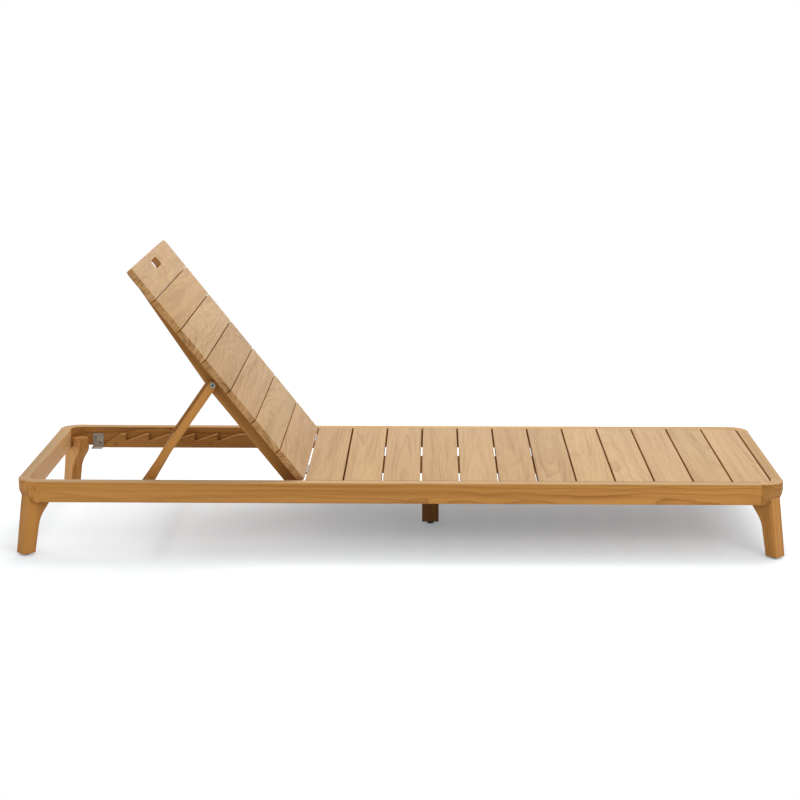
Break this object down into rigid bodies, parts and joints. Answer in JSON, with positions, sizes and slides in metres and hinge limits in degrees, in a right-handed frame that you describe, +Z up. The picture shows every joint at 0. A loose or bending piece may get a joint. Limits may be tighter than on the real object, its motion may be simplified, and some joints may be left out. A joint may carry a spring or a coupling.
{
  "type": "chaise longue",
  "caption": "Slatted teak sun lounger: a low frame on splayed corner legs with a hinged slatted back held up by a folding prop in notched racks.",
  "frame": {"origin": "on the floor under the middle of the frame", "axes": "+X along the lounger from head to foot, +Y to the sitter's left, +Z up"},
  "size_m": [2.0134, 0.7134, 0.7531],
  "materials": {
    "teak": "sanded, oiled",
    "bracket_steel": "satin",
    "hinge_steel": "satin",
    "bolt_steel": "zinc plated",
    "foot_pad": "matte"
  },
  "bodies": {
    "frame": {"side_rail_left": "teak", "side_rail_right": "teak", "head_rail": "teak", "foot_rail": "teak", "corner_block_head_right": "teak", "corner_block_foot_right": "teak", "corner_block_foot_left": "teak", "corner_block_head_left": "teak", "leg_head_right": "teak", "leg_foot_right": "teak", "leg_foot_left": "teak", "leg_head_left": "teak", "foot_pad_head_right": "foot_pad", "foot_pad_foot_right": "foot_pad", "foot_pad_foot_left": "foot_pad", "foot_pad_head_left": "foot_pad", "middle_leg": "teak", "foot_pad_middle": "foot_pad", "centre_beam": "teak", "cross_rail": "teak", "seat_ledger_left": "teak", "seat_ledger_right": "teak", "notched_rack_left": "teak", "notched_rack_right": "teak", "bar_bracket_left": "bracket_steel", "bar_bracket_right": "bracket_steel", "seat_slat_01": "teak", "seat_slat_02": "teak", "seat_slat_03": "teak", "seat_slat_04": "teak", "seat_slat_05": "teak", "seat_slat_06": "teak", "seat_slat_07": "teak", "seat_slat_08": "teak", "seat_slat_09": "teak", "seat_slat_10": "teak", "seat_slat_11": "teak", "seat_slat_12": "teak", "hinge_seat_leaf_left": "hinge_steel", "hinge_seat_leaf_right": "hinge_steel", "hinge_pin_left": "hinge_steel", "hinge_pin_right": "hinge_steel"},
    "backrest": {"back_slat_1": "teak", "back_slat_2": "teak", "back_slat_3": "teak", "back_slat_4": "teak", "back_slat_5": "teak", "back_slat_6": "teak", "back_slat_7": "teak", "back_batten_left": "teak", "back_batten_right": "teak", "prop_bolt_left": "bolt_steel", "prop_bolt_right": "bolt_steel", "hinge_back_leaf_left": "hinge_steel", "hinge_back_leaf_right": "hinge_steel"},
    "prop": {"prop_arm_left": "teak", "prop_arm_right": "teak", "prop_bar": "teak"}
  },
  "joints": [
    {"name": "backrest_recline", "type": "hinge", "parent": "frame", "child": "backrest", "pos_m": [-0.24885, 0, 0.1975], "axis": [0, 1, 0], "range_deg": [-51.57, 11.19]},
    {"name": "prop_pivot", "type": "hinge", "parent": "backrest", "child": "prop", "pos_m": [-0.48656, 0, 0.44483], "axis": [0, 1, 0], "range_deg": [-24, 107.2]}
  ],
  "couplings": [
    {"joint": "prop_pivot", "follows": "backrest_recline", "ratio": -2.0576}
  ]
}
